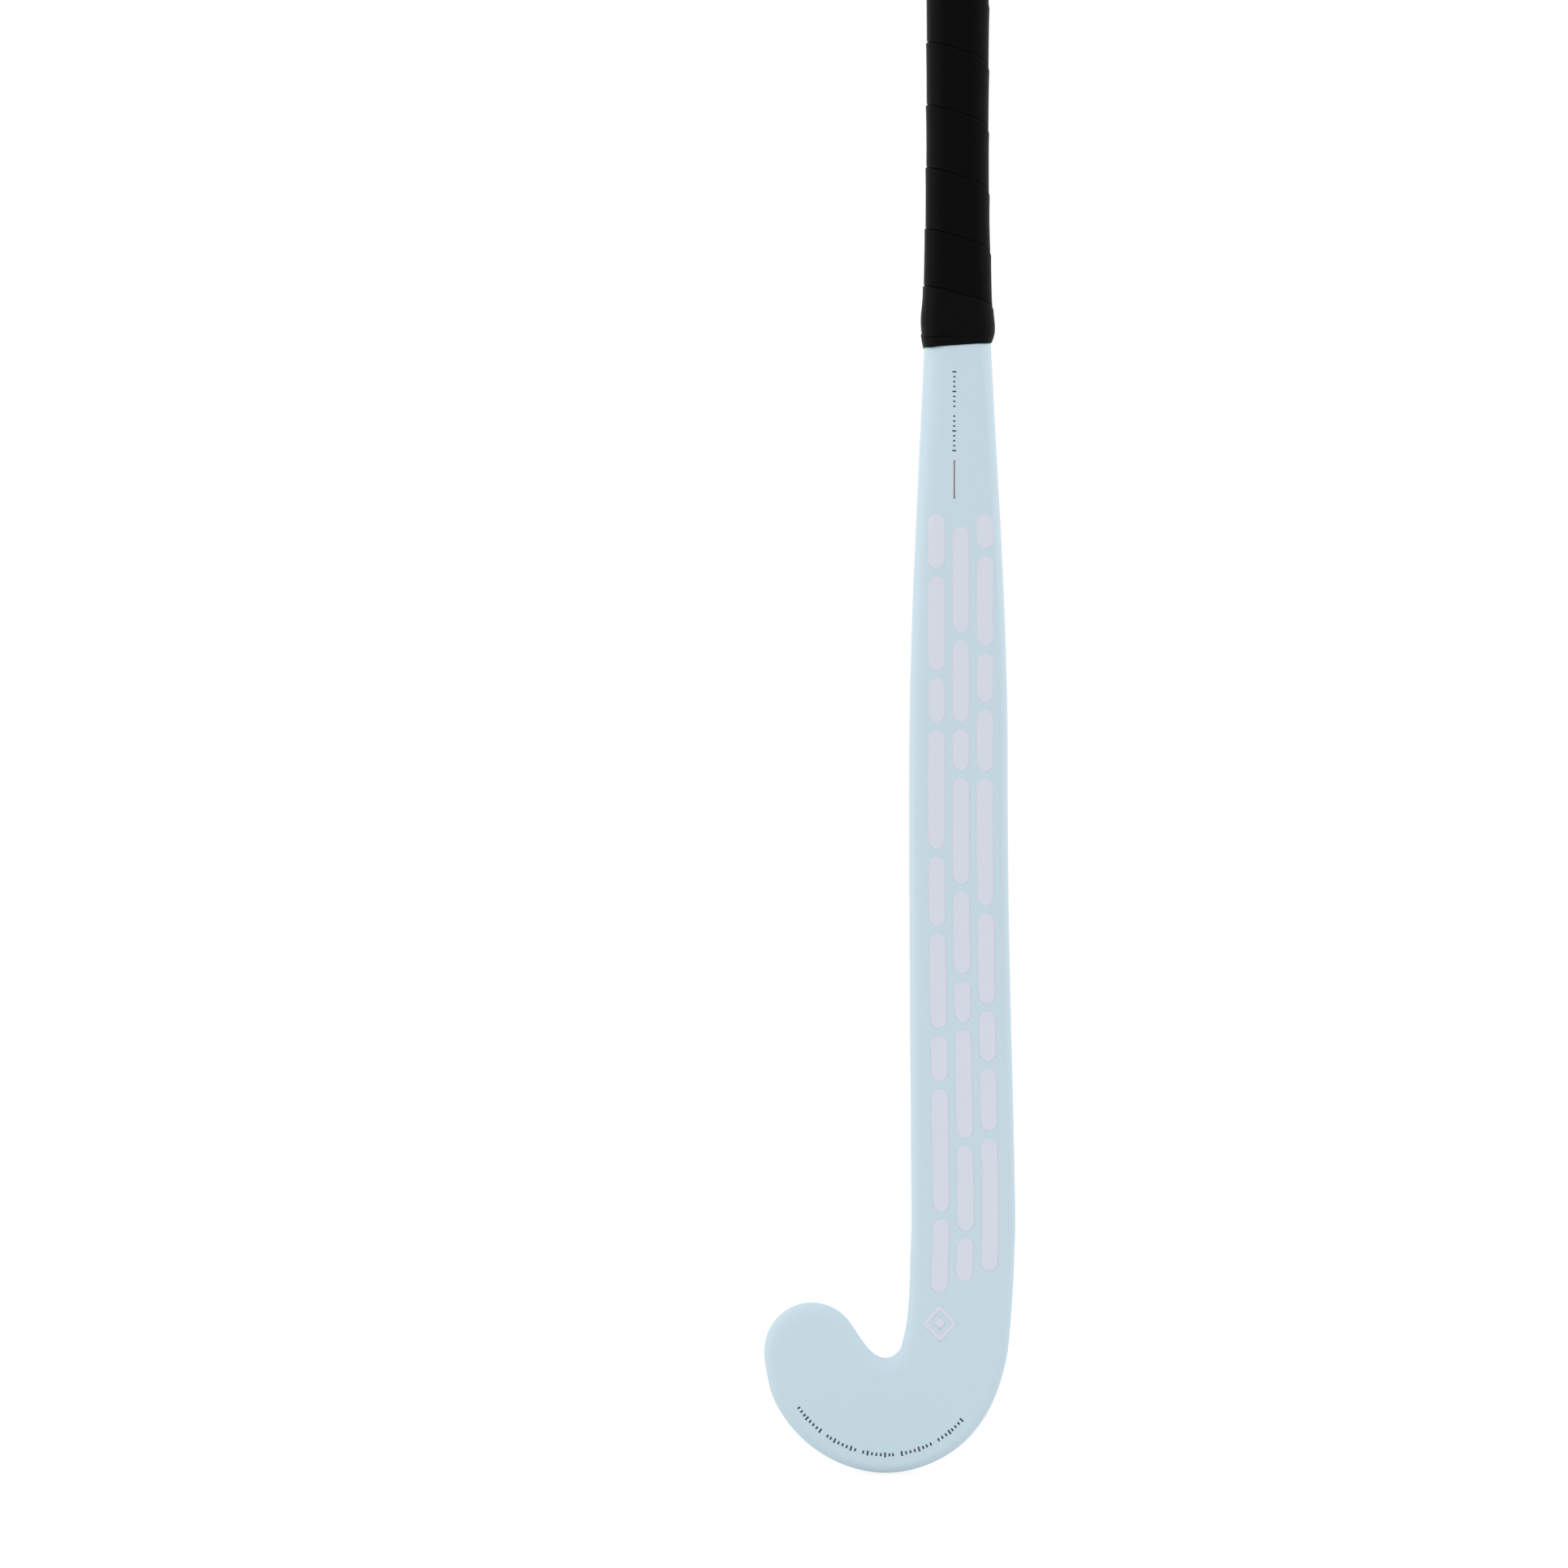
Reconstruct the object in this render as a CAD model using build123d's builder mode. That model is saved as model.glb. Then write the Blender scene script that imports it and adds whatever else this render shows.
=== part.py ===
from build123d import *
from collections import namedtuple
from math import atan2, cos, degrees, radians, sin, sqrt
import os

# A composite field hockey stick, taken apart into the pieces that it is made of: a hollow laminate
# shell, two inner tubes side by side that make its centre web, a foam core in the head, foam and a
# plug in the handle, and the backing, grip tape and finishing tape wound round the handle.
#
# The straight handle stands on the Z axis with the origin at the middle of the grip. The flat
# playing face looks along -Y, the crowned back along +Y, and the toe points along -X. Going down
# from the handle the stick bows forwards, and the head hooks round a notch.
# Heights are along the face, from the lowest point of the head.

# ---- overall sizes, mm ----
STICK_LENGTH = 927.0  # lowest point of the head to the top of the end plug
GRIP_LENGTH = 385.0  # top of the end plug to the lower edge of the finishing tape
BOW_DEPTH = 24.0  # widest gap between the face and a straight edge laid from head to butt
BOW_HEIGHT = 250.0  # height of that gap
HEAD_FLAT = 80.0  # the playing face is one plane up to this height

# ---- handle, shaft and throat: where each section is, and its size ----
HANDLE_START = 643.0
HANDLE_WIDTH, HANDLE_DEPTH, HANDLE_CORNER, HANDLE_CROWN = 27.2, 22.6, 9.5, 30.0
SHAFT_START = 339.0
SHAFT_WIDTH, SHAFT_DEPTH, SHAFT_CORNER, SHAFT_CROWN = 48.0, 21.2, 5.5, 50.0
SHAFT_OFFSET = 0.9  # the shaft's middle, from the handle's axis towards the heel
THROAT_START = 115.0
THROAT_WIDTH, THROAT_DEPTH, THROAT_CROWN = 50.1, 20.6, 58.0
THROAT_OFFSET = 2.7
BACK_CORNER = 9.0  # rounding along both edges of the back

# ---- head, seen square on to the face ----
NECK_EDGES = [(98.0, 23.1, 26.9), (82.0, 23.6, 25.9), (68.0, 25.0, 24.6)]  # height, toe side, heel side
NOTCH_RADIUS = 9.0
NOTCH_OFFSET = 35.8  # centre of the notch, from the handle's axis towards the toe
HEEL_WIDTHS = [(0.0, 50.7), (10.0, 49.9)]  # degrees round the notch, width, above the hook
HOOK_START, HOOK_TURN = 20.0, 158.0  # degrees round the notch where the hook starts and ends
HOOK_WIDTHS = (49.5, 52.4, 50.9)  # where the hook starts, halfway round, and where it ends
TOE_RUN = 7.6  # straight stretch between the hook and the half round toe
TOE_RADIUS = 23.2
HEAD_DEPTH, HEAD_CORNER, HEAD_CROWN = 19.5, 4.5, 90.0

# ---- walls, fillings and clearances ----
HANDLE_WALL, SHAFT_WALL, HEAD_WALL = 1.5, 1.6, 5.0
TUBE_WALL = 1.0
TUBE_CORNER = 2.0
BOND = 0.1  # glue line between a piece and the one round it
LEAST_CORNER = 0.6
CORE_TOP = 92.0  # height of the top of the head's core
FOAM_LENGTH = 230.0  # handle foam, down from the end plug's prongs
PLUG_DISC = 3.0
PLUG_PRONG = 24.0
PLUG_EDGE = 1.2

# ---- grip ----
BACKING = 0.4
TAPE = 1.1
TAPE_SKIVE = 5.0  # the lower end of the grip tape is thinned over this length
TAPE_THIN = 0.2  # thickness left at that end
FINISH_LENGTH = 17.0
FINISH_TAPE = 0.4
FINISH_LIP = 5.0  # the finishing tape reaches this far below the grip tape, onto the laminate
FINISH_DROP = 2.6  # the finishing tape's lower edge is this much lower on the toe side

# ---- the bow: straight handle, one long arc, straight head ----
HOLD = STICK_LENGTH - GRIP_LENGTH / 2  # height of the origin
BOW_START = STICK_LENGTH - sqrt(STICK_LENGTH**2 - 2 * STICK_LENGTH * BOW_HEIGHT + HEAD_FLAT**2)
BOW_RADIUS = (
    (BOW_START**2 - HEAD_FLAT**2) * (1 - BOW_HEIGHT / STICK_LENGTH) - (BOW_START - BOW_HEIGHT) ** 2
) / (2 * BOW_DEPTH)
BOW_ANGLE = (BOW_START - HEAD_FLAT) / BOW_RADIUS  # radians between the handle and the head

LAMINATE_TOP = STICK_LENGTH - PLUG_DISC - BOND
GRIP_BOTTOM = STICK_LENGTH - GRIP_LENGTH
NOTCH_HEIGHT = NOTCH_RADIUS + HOOK_WIDTHS[1]
TUBE_BORE_CORNER = max(TUBE_CORNER - TUBE_WALL, LEAST_CORNER)
TUBE_INSET = BOND + TUBE_WALL + BOND  # from the shell's inner wall to what fills the tubes
WEB_INSET = BOND / 2 + TUBE_WALL + BOND  # from the middle of the web to what fills the tubes
BACKING_OUT = BOND + BACKING
TAPE_OUT = BACKING_OUT + BOND + TAPE

os.makedirs("parts", exist_ok=True)

Section = namedtuple("Section", "width depth face_corner back_corner curvature wall")
HANDLE = Section(HANDLE_WIDTH, HANDLE_DEPTH, HANDLE_CORNER, BACK_CORNER, 1 / HANDLE_CROWN, HANDLE_WALL)
SHAFT = Section(SHAFT_WIDTH, SHAFT_DEPTH, SHAFT_CORNER, BACK_CORNER, 1 / SHAFT_CROWN, SHAFT_WALL)
THROAT = Section(THROAT_WIDTH, THROAT_DEPTH, HEAD_CORNER, BACK_CORNER, 1 / THROAT_CROWN, SHAFT_WALL)
HOOK = Section(HOOK_WIDTHS[0], HEAD_DEPTH, HEAD_CORNER, BACK_CORNER, 1 / HEAD_CROWN, HEAD_WALL)
TOE = HOOK._replace(width=2 * TOE_RADIUS)


def ease(share):
    """A share from 0 to 1 that starts and ends gently."""
    share = min(max(share, 0), 1)
    return share * share * (3 - 2 * share)


def steps(first, last, count):
    """Even steps between two values, with both of them."""
    return [first + (last - first) * i / count for i in range(count + 1)]


def between(high, low, share):
    """The section part of the way down from one section to the next."""
    return Section(*(a + (b - a) * share for a, b in zip(high, low)))


def face_plane(height, offset=0.0):
    """The plane of a cross-section: X towards the heel, Y into the stick from its face."""
    arc = min(max(BOW_START - height, 0), BOW_START - HEAD_FLAT) / BOW_RADIUS
    above, below = max(height - BOW_START, 0), max(HEAD_FLAT - height, 0)
    y = -HANDLE_DEPTH / 2 - BOW_RADIUS * (1 - cos(arc)) - below * sin(arc)
    z = BOW_START - HOLD - BOW_RADIUS * sin(arc) + above - below * cos(arc)
    return Plane(origin=(offset, y, z), x_dir=(1, 0, 0), z_dir=(0, sin(arc), cos(arc)))


FACE = Plane(origin=face_plane(0).origin, x_dir=(1, 0, 0), z_dir=(0, -cos(BOW_ANGLE), sin(BOW_ANGLE)))
NOTCH = FACE.from_local_coords(Vector(-NOTCH_OFFSET, NOTCH_HEIGHT, 0))


def hook_plane(turn, width, run=0.0):
    """The plane of a cross-section of the hook, after a turn round the notch and a straight run."""
    out = FACE.x_dir * cos(radians(turn)) - FACE.y_dir * sin(radians(turn))
    back_up = FACE.x_dir * sin(radians(turn)) + FACE.y_dir * cos(radians(turn))
    middle = NOTCH + out * (NOTCH_RADIUS + width / 2) - back_up * run
    return Plane(origin=middle, x_dir=out, z_dir=back_up)


def hook_width(share):
    """The width of the hook, which changes evenly through its start, its middle and its end."""
    start, middle, end = HOOK_WIDTHS
    swell = 4 * share * (1 - share)
    return start * (1 - share) * (1 - 2 * share) + middle * swell + end * share * (2 * share - 1)


def upper_station(height):
    """The plane and the section at a height in the handle, the shaft or the throat."""
    if height > SHAFT_START:
        share = ease((HANDLE_START - height) / (HANDLE_START - SHAFT_START))
        return face_plane(height, SHAFT_OFFSET * share), between(HANDLE, SHAFT, share)
    share = ease((SHAFT_START - height) / (SHAFT_START - THROAT_START))
    offset = SHAFT_OFFSET + (THROAT_OFFSET - SHAFT_OFFSET) * share
    return face_plane(height, offset), between(SHAFT, THROAT, share)


# Sections from the butt down to the neck, and on round the hook, each with its plane
HEIGHTS = [LAMINATE_TOP, *steps(HANDLE_START, SHAFT_START, 8), *steps(SHAFT_START, THROAT_START, 7)[1:]]
UPPER = [upper_station(height) for height in HEIGHTS]
for height, toe_side, heel_side in NECK_EDGES:
    shape = between(THROAT, HOOK, ease((THROAT_START - height) / (THROAT_START - NOTCH_HEIGHT)) / 2)
    plane = face_plane(height, (heel_side - toe_side) / 2)
    UPPER.append((plane, shape._replace(width=toe_side + heel_side)))
LOWER = []
for turn, width in HEEL_WIDTHS:
    shape = between(THROAT, HOOK, 0.5 + 0.5 * turn / HOOK_START)
    LOWER.append((hook_plane(turn, width), shape._replace(width=width)))
for share in steps(0, 1, 12):
    turn, width = HOOK_START + (HOOK_TURN - HOOK_START) * share, hook_width(share)
    LOWER.append((hook_plane(turn, width), HOOK._replace(width=width)))
TOE_PLANE = hook_plane(HOOK_TURN, HOOK_WIDTHS[2], TOE_RUN)
LOWER.append((TOE_PLANE, TOE))


def draw_corner(centre, radius, start, turn, inset):
    """Draw a corner of an outline: an arc, or only its chord on the hidden inner pieces."""
    hidden = inset > 0
    arc = CenterArc(centre, radius, start, turn, mode=Mode.PRIVATE if hidden else Mode.ADD)
    if hidden:
        Line(arc @ 0, arc @ 1)


def draw_outline(shape, inset):
    """Draw a D-shaped outline: flat face on the X axis, crowned back, every corner rounded."""
    half, depth = shape.width / 2 - inset, shape.depth - inset
    face_corner = max(shape.face_corner - inset, LEAST_CORNER)
    back_corner = max(shape.back_corner - inset, LEAST_CORNER)
    crown = 1 / shape.curvature - inset
    rise = sqrt((crown - back_corner) ** 2 - (half - back_corner) ** 2)
    shoulder = depth - crown + rise
    turn = degrees(atan2(rise, half - back_corner))
    Line((-half + face_corner, inset), (half - face_corner, inset))
    draw_corner((half - face_corner, inset + face_corner), face_corner, 270, 90, inset)
    Line((half, inset + face_corner), (half, shoulder))
    draw_corner((half - back_corner, shoulder), back_corner, 0, turn, inset)
    CenterArc((0, depth - crown), crown, turn, 180 - 2 * turn)
    draw_corner((-half + back_corner, shoulder), back_corner, 180 - turn, turn, inset)
    Line((-half, shoulder), (-half, inset + face_corner))
    draw_corner((-half + face_corner, inset + face_corner), face_corner, 180, 90, inset)


def full_sketch(plane, shape, inset=0.0):
    """A whole section, drawn smaller by the inset all round, or larger where it is negative."""
    with BuildSketch(plane) as sketch:
        with BuildLine():
            draw_outline(shape, inset)
        make_face()
    return sketch.sketch


def half_sketch(plane, shape, inset, side, web=0.0, corner=0.0):
    """The part of a section on one side of its middle: side 1 towards the heel, -1 towards the toe."""
    with BuildSketch(plane) as sketch:
        with BuildLine():
            draw_outline(shape, inset)
        make_face()
        split(bisect_by=Plane.YZ.offset(side * web), keep=Keep.TOP if side > 0 else Keep.BOTTOM)
        if corner:
            chamfer(sketch.vertices().sort_by(Axis.X)[::side][:2], corner)
    return sketch.sketch


def bar(share=0.0, extra=0.0, mode=Mode.ADD):
    """The bent bar from the top of the laminate to the toe, inset by a share of the wall and more."""
    sections = [full_sketch(plane, shape, shape.wall * share + extra) for plane, shape in UPPER + LOWER]
    loft(sections, ruled=True, mode=mode)
    round_toe = Axis(TOE_PLANE.origin, TOE_PLANE.y_dir)
    revolve(half_sketch(TOE_PLANE, TOE, TOE.wall * share + extra, 1), round_toe, 180, mode=mode)


def sleeve(levels, mode=Mode.ADD):
    """A body round the handle, larger all round than the laminate by an outset at each height."""
    sections = [full_sketch(*upper_station(height), -outset) for height, outset in levels]
    loft(sections, ruled=True, mode=mode)


def half_bar(side, inset, web, corner, floor, mode=Mode.ADD):
    """Half of the space inside the shell, from a height up to the top of the laminate."""
    with BuildPart() as half:
        loft([half_sketch(p, s, s.wall + inset, side, web, corner) for p, s in UPPER], ruled=True)
        split(bisect_by=floor, keep=Keep.TOP)
    add(half.part, mode=mode)


def prong(side, bottom, top):
    """A straight filling of one tube's bore in the handle, between two heights."""
    inset = HANDLE_WALL + TUBE_INSET
    extrude(half_sketch(face_plane(bottom), HANDLE, inset, side, WEB_INSET, TUBE_BORE_CORNER), top - bottom)


# ---- outer shell: the laminate, thicker in the head, open at the butt ----
with BuildPart() as outer_shell:
    bar()
    bar(share=1.0, mode=Mode.SUBTRACT)
outer_shell.part.label = "outer_shell"
export_step(outer_shell.part, "parts/outer_shell.step")

# ---- head core: foam that fills the hook and the neck ----
with BuildPart() as head_core:
    bar(share=1.0, extra=BOND)
    split(bisect_by=face_plane(CORE_TOP), keep=Keep.BOTTOM)
head_core.part.label = "head_core"
export_step(head_core.part, "parts/head_core.step")

# ---- inner tubes: two D-shaped tubes, closed above the core, whose flat sides make the web ----
for side, name in ((1, "heel_side_tube"), (-1, "toe_side_tube")):
    with BuildPart() as tube:
        half_bar(side, BOND, BOND / 2, TUBE_CORNER, face_plane(CORE_TOP + BOND))
        half_bar(
            side,
            BOND + TUBE_WALL,
            BOND / 2 + TUBE_WALL,
            TUBE_BORE_CORNER,
            face_plane(CORE_TOP + BOND + TUBE_WALL),
            mode=Mode.SUBTRACT,
        )
    tube.part.label = name
    export_step(tube.part, f"parts/{name}.step")

# ---- handle foam: a filling in the top of each tube, below the plug ----
FOAM_TOP = LAMINATE_TOP - PLUG_PRONG - BOND
with BuildPart() as handle_foam:
    prong(1, FOAM_TOP - FOAM_LENGTH, FOAM_TOP)
    prong(-1, FOAM_TOP - FOAM_LENGTH, FOAM_TOP)
handle_foam.part.label = "handle_foam"
export_step(handle_foam.part, "parts/handle_foam.step")

# ---- end plug: a disc that covers the laminate and the tape, with a prong down each tube ----
with BuildPart() as end_plug:
    extrude(full_sketch(face_plane(LAMINATE_TOP + BOND), HANDLE, -TAPE_OUT), PLUG_DISC)
    chamfer(end_plug.faces().sort_by(Axis.Z)[-1].edges(), PLUG_EDGE)
    prong(1, LAMINATE_TOP - PLUG_PRONG, LAMINATE_TOP + BOND)
    prong(-1, LAMINATE_TOP - PLUG_PRONG, LAMINATE_TOP + BOND)
end_plug.part.label = "end_plug"
export_step(end_plug.part, "parts/end_plug.step")

# ---- grip backing: the felt layer glued to the laminate under the tape ----
TAPE_BOTTOM = GRIP_BOTTOM + FINISH_LIP
TAPE_FULL = TAPE_BOTTOM + TAPE_SKIVE
GRIP_HEIGHTS = [height for height in HEIGHTS if height > TAPE_FULL] + [TAPE_FULL, TAPE_BOTTOM]
with BuildPart() as grip_backing:
    sleeve([(height, BACKING_OUT) for height in GRIP_HEIGHTS])
    sleeve([(height, BOND) for height in GRIP_HEIGHTS], mode=Mode.SUBTRACT)
grip_backing.part.label = "grip_backing"
export_step(grip_backing.part, "parts/grip_backing.step")

# ---- grip tape: a strip wound as a sleeve, thinned at its lower end ----
THIN_OUT = BACKING_OUT + BOND + TAPE_THIN
with BuildPart() as grip_tape:
    sleeve([(height, TAPE_OUT) for height in GRIP_HEIGHTS[:-1]] + [(TAPE_BOTTOM, THIN_OUT)])
    sleeve([(height, BACKING_OUT + BOND) for height in GRIP_HEIGHTS], mode=Mode.SUBTRACT)
grip_tape.part.label = "grip_tape"
export_step(grip_tape.part, "parts/grip_tape.step")

# ---- finishing tape: a stretched band over the end of the grip, drawn in onto the laminate ----
FINISH_FLOOR = GRIP_BOTTOM - FINISH_DROP / 2
OVER_TAPE, OVER_LAMINATE = upper_station(TAPE_FULL), upper_station(FINISH_FLOOR)
WIDENING = (OVER_LAMINATE[1].width - OVER_TAPE[1].width) / 2
DRAW_IN = degrees(atan2(TAPE_OUT - WIDENING, TAPE_FULL - FINISH_FLOOR))
EDGE_TILT = degrees(atan2(FINISH_DROP, OVER_LAMINATE[1].width))
with BuildPart() as finishing_tape:
    for outset, mode in ((TAPE_OUT + BOND + FINISH_TAPE, Mode.ADD), (TAPE_OUT + BOND, Mode.SUBTRACT)):
        section = full_sketch(*OVER_TAPE, -outset)
        extrude(section, GRIP_BOTTOM + FINISH_LENGTH - TAPE_FULL, mode=mode)
        extrude(section, FINISH_FLOOR - TAPE_FULL, taper=DRAW_IN, mode=mode)
    split(bisect_by=face_plane(GRIP_BOTTOM).rotated((0, -EDGE_TILT, 0)), keep=Keep.TOP)
finishing_tape.part.label = "finishing_tape"
export_step(finishing_tape.part, "parts/finishing_tape.step")
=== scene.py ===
"""Looks of a composite field hockey stick: its lacquered shell, printed decoration and wound grip.

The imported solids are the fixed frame. The handle stands on the Z axis with the origin at the
middle of the grip, the flat playing face looks along -Y, and the toe points along -X.
"""

import math

import bmesh
import bpy
from bpy.props import FloatProperty, FloatVectorProperty, PointerProperty, StringProperty
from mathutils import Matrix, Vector
from mathutils.bvhtree import BVHTree


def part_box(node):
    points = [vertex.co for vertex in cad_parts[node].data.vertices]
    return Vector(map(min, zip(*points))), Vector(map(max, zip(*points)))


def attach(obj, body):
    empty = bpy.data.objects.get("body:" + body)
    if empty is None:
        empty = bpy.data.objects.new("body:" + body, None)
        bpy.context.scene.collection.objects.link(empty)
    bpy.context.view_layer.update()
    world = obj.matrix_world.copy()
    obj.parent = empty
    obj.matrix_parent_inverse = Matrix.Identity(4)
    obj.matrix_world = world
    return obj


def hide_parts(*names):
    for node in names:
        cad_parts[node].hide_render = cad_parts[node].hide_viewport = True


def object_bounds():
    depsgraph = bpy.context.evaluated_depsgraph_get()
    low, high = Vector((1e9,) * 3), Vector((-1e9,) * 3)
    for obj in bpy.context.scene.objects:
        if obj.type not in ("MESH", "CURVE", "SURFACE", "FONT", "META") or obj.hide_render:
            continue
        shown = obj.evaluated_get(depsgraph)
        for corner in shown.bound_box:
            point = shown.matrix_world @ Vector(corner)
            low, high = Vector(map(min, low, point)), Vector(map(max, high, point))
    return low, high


bl_info = {
    "name": "Field Hockey Stick",
    "version": (1, 0, 0),
    "blender": (4, 5, 0),
    "location": "View3D > Sidebar > Stick",
    "description": "Dresses the solids of a composite field hockey stick",
    "category": "Object",
}

MM = 0.001
ROOT = "root"
SHELL = "outer_shell_lacquered"

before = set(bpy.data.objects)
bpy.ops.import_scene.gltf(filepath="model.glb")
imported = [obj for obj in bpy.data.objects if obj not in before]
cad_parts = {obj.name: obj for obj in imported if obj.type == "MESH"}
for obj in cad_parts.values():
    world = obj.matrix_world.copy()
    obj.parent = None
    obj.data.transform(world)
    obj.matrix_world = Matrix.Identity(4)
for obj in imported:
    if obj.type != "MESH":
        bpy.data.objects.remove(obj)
CAD_LOW, CAD_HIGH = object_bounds()
TAPE_END, BUTT_TOP = (corner.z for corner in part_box("grip_tape"))
BAND_LOW, BAND_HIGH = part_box("finishing_tape")
GRIP_END = BAND_LOW.z


# ---- numbers, nodes and meshes ----


def mm(*values):
    """Lengths given in millimetres, in metres."""
    return tuple(value * MM for value in values)


def ease(share):
    """A share from 0 to 1 that starts and ends gently."""
    share = min(max(share, 0.0), 1.0)
    return share * share * (3 - 2 * share)


def blend(start, end, share):
    """The values part of the way from one list of values to another."""
    return [a + (b - a) * share for a, b in zip(start, end)]


def follow(knots, place):
    """Values between knots, each a place and its values, in falling order of place."""
    for (high, upper), (low, lower) in zip(knots, knots[1:]):
        if place >= low:
            return blend(upper, lower, (high - place) / (high - low))
    return list(knots[-1][1])


def above_head(length):
    """The height of a place above the lowest point of the head, given in mm."""
    return CAD_LOW.z + length * MM


def linear(code, shade=1.0):
    """The linear colour of an sRGB hex value, darker where the shade is below 1."""
    levels = [int(code[i : i + 2], 16) / 255 for i in (1, 3, 5)]
    tone = [v / 12.92 if v <= 0.04045 else ((v + 0.055) / 1.055) ** 2.4 for v in levels]
    return [v * shade for v in tone] + [1.0]


def add_node(tree, kind, inputs=None, links=None, **settings):
    """Adds a node, sets its properties and input values, and links outputs to its inputs."""
    node = tree.nodes.new(kind)
    for name, value in settings.items():
        setattr(node, name, value)
    for name, value in (inputs or {}).items():
        node.inputs[name].default_value = value
    for name, output in (links or {}).items():
        tree.links.new(output, node.inputs[name])
    return node


def new_material(name):
    """An empty material, and its node tree."""
    material = bpy.data.materials.new(name)
    material.use_nodes = True
    material.node_tree.nodes.clear()
    return material, material.node_tree


def finish(tree, pattern, tones, sockets, height=None, strength=0.0, depth=0.0):
    """Ends a material: a pattern mixes its two tones, and a height raises it by up to a depth."""
    dark, light = tones
    tone = add_node(
        tree, "ShaderNodeMix", {"A": dark, "B": light}, {"Factor": pattern}, data_type="RGBA"
    )
    links = {"Base Color": tone.outputs["Result"]}
    if height:
        relief = add_node(
            tree, "ShaderNodeBump", {"Strength": strength, "Distance": depth}, {"Height": height}
        )
        links["Normal"] = relief.outputs["Normal"]
    shader = add_node(tree, "ShaderNodeBsdfPrincipled", sockets, links)
    add_node(tree, "ShaderNodeOutputMaterial", links={"Surface": shader.outputs["BSDF"]})


def set_material(piece, material):
    piece.data.materials.clear()
    piece.data.materials.append(material)


def mesh_piece(name, grids, material):
    """A piece made of grids of points, each a list of rows."""
    bm = bmesh.new()
    for rows in grids:
        made = [[bm.verts.new(point) for point in row] for row in rows]
        for upper, lower in zip(made, made[1:]):
            for i in range(len(upper) - 1):
                bm.faces.new((upper[i], upper[i + 1], lower[i + 1], lower[i]))
    mesh = bpy.data.meshes.new(name)
    bm.to_mesh(mesh)
    bm.free()
    for face in mesh.polygons:
        face.use_smooth = True
    piece = bpy.data.objects.new(name, mesh)
    bpy.context.scene.collection.objects.link(piece)
    set_material(piece, material)
    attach(piece, ROOT)
    return piece


def tidy_mesh(piece, join=0.02 * MM):
    """Joins points that lie together, and turns each sheet's faces all to one side."""
    bm = bmesh.new()
    bm.from_mesh(piece.data)
    bmesh.ops.remove_doubles(bm, verts=bm.verts, dist=join)
    bmesh.ops.recalc_face_normals(bm, faces=bm.faces)
    bm.to_mesh(piece.data)
    bm.free()


def thicken(piece, thickness):
    """Gives an open sheet its thickness, behind its faces, as real geometry."""
    modifier = piece.modifiers.new("thickness", "SOLIDIFY")
    modifier.thickness = thickness
    modifier.offset = -1.0
    modifier.use_even_offset = False
    graph = bpy.context.evaluated_depsgraph_get()
    mesh = bpy.data.meshes.new_from_object(piece.evaluated_get(graph))
    piece.modifiers.clear()
    piece.data = mesh


def surface_of(piece):
    """A searchable copy of a piece's surface."""
    points = [vertex.co.copy() for vertex in piece.data.vertices]
    return BVHTree.FromPolygons(points, [face.vertices for face in piece.data.polygons])


# ---- sizes and colours a user would change ----


def size_property(name, description, default):
    """A length that a user would change, with its default in mm."""
    return FloatProperty(name=name, description=description, default=default * MM, unit="LENGTH")


def section_property(name, *sizes):
    """The sizes, in mm, of one of the shell's D-shaped cross-sections."""
    return FloatVectorProperty(
        name=name,
        description="Width, depth, face corner, back corner and crown of the section",
        size=5,
        default=mm(*sizes),
        unit="LENGTH",
    )


def colour_property(name, description, default):
    """A colour that a user would change, as an sRGB hex value."""
    return StringProperty(name=name, description="sRGB colour of " + description, default=default)


class ShellSettings(bpy.types.PropertyGroup):
    colour: colour_property("Lacquer", "the shell", "#C0D4DE")
    roughness: FloatProperty(
        name="Roughness", description="Satin of the lacquer", default=0.42, min=0.0, max=1.0,
        subtype="FACTOR",
    )
    handle: section_property("Handle", 27.2, 22.6, 9.5, 9.0, 30.0)
    shaft: section_property("Shaft", 48.0, 21.2, 5.5, 9.0, 50.0)
    throat: section_property("Throat", 50.1, 20.6, 4.5, 9.0, 58.0)
    head: section_property("Head", 49.5, 19.5, 4.5, 9.0, 90.0)
    toe_side_softness: FloatProperty(
        name="Toe side softness", description="Reach of the toe side's rounding over its depth",
        default=1.8, min=1.0, max=2.2,
    )
    bow_depth: size_property("Bow depth", "Widest gap between the face and a straight edge", 24)
    bow_height: size_property("Bow height", "Height of that gap", 250)
    notch_radius: size_property("Notch radius", "Radius of the bend inside the hook", 9)
    toe_radius: size_property("Toe radius", "Radius of the round end of the hook", 23.2)


class PrintSettings(bpy.types.PropertyGroup):
    lilac: colour_property("Lilac ink", "the large print", "#D1D5E1")
    dark: colour_property("Dark ink", "the small print", "#24303C")
    line: colour_property("Line ink", "the pinstripes", "#8E6E78")
    line_width: size_property("Line width", "Width of a pinstripe", 0.7)
    bar_pitch: size_property("Bar pitch", "Middle of one column of bars to the next", 11.8)
    bar_gap: size_property("Bar gap", "Bare shell between two bars", 3.5)
    chevron_width: size_property("Chevron width", "Width of a chevron on the back", 36)
    chevron_rise: size_property("Chevron rise", "Rise of a chevron from its ends to its peak", 11)


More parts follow.
